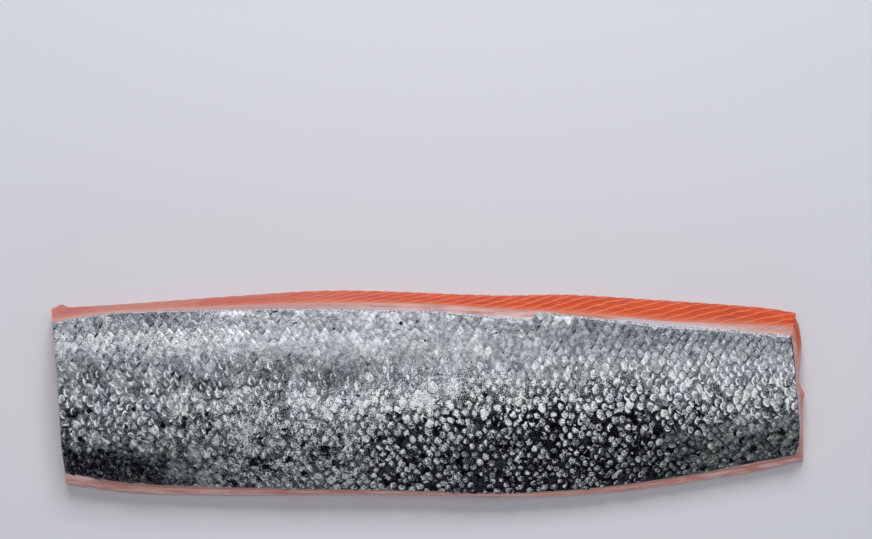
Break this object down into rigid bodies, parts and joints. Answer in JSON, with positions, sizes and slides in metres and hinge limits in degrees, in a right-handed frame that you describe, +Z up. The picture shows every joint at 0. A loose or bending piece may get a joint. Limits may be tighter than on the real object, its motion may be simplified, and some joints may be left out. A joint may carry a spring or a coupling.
{
  "type": "raw salmon fillet",
  "caption": "Long skin-on piece of raw salmon, the back half of a side, lying flesh side down with silver scaled skin, a pale fat layer and banded orange flesh at its cut faces.",
  "frame": {"origin": "middle of the footprint, on the surface the fillet lies on", "axes": "+X towards the tail end, +Y towards the long flank cut, +Z up through the skin"},
  "size_m": [0.3978, 0.109, 0.0294],
  "materials": {
    "skin": "wet silver scales over dark skin",
    "fat": "moist, pale pink",
    "flesh": "moist, orange with pale seams"
  },
  "bodies": {
    "root": {"skin": "skin", "fat_layer": "fat", "flesh": "flesh"}
  },
  "joints": []
}
